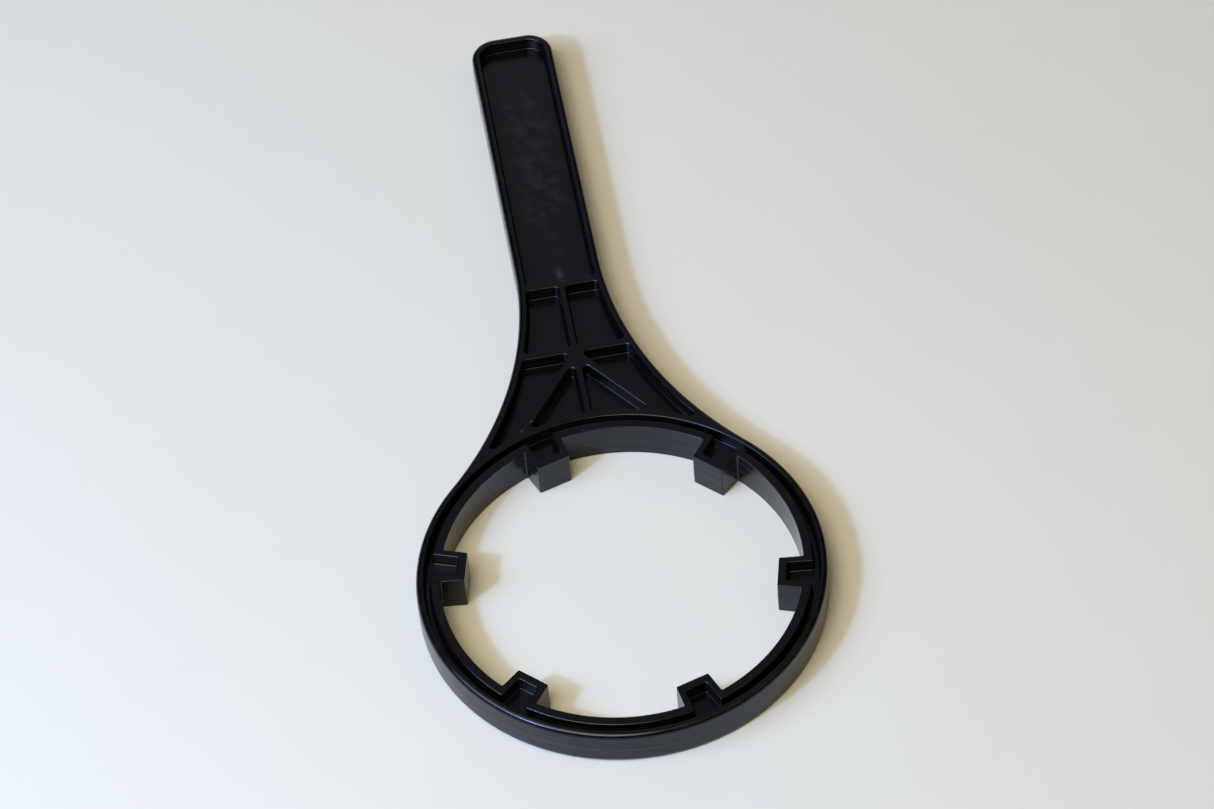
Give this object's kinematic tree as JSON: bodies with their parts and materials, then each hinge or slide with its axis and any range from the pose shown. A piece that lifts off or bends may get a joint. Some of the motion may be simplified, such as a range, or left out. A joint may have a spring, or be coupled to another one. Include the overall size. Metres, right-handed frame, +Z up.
{
  "type": "filter housing spanner wrench",
  "caption": "Flat black plastic spanner wrench: a ring with inward lugs that turns a water filter housing, on a long flat recessed handle.",
  "frame": {"origin": "middle of the tool's length and width, on the face that it rests on", "axes": "+Z up through the tool's thickness, +Y along the handle from the ring to the handle's end, and +X across"},
  "size_m": [0.14, 0.3238, 0.014],
  "materials": {
    "black_plastic": "satin moulded black plastic"
  },
  "bodies": {
    "root": {"ring_outer_wall": "black_plastic", "ring_web": "black_plastic", "ring_inner_wall_1": "black_plastic", "ring_inner_wall_2": "black_plastic", "ring_inner_wall_3": "black_plastic", "ring_inner_wall_4": "black_plastic", "ring_inner_wall_5": "black_plastic", "ring_inner_wall_6": "black_plastic", "lug_1": "black_plastic", "lug_2": "black_plastic", "lug_3": "black_plastic", "lug_4": "black_plastic", "lug_5": "black_plastic", "lug_6": "black_plastic", "neck_rail_left": "black_plastic", "neck_rail_right": "black_plastic", "top_cross_rib": "black_plastic", "middle_cross_rib": "black_plastic", "centre_rib_upper": "black_plastic", "centre_rib_lower": "black_plastic", "diagonal_rib_left": "black_plastic", "diagonal_rib_right": "black_plastic", "neck_web_upper_left": "black_plastic", "neck_web_upper_right": "black_plastic", "neck_web_outer_left": "black_plastic", "neck_web_outer_right": "black_plastic", "neck_web_inner_left": "black_plastic", "neck_web_inner_right": "black_plastic", "handle_rim": "black_plastic", "handle_web": "black_plastic"}
  },
  "joints": []
}
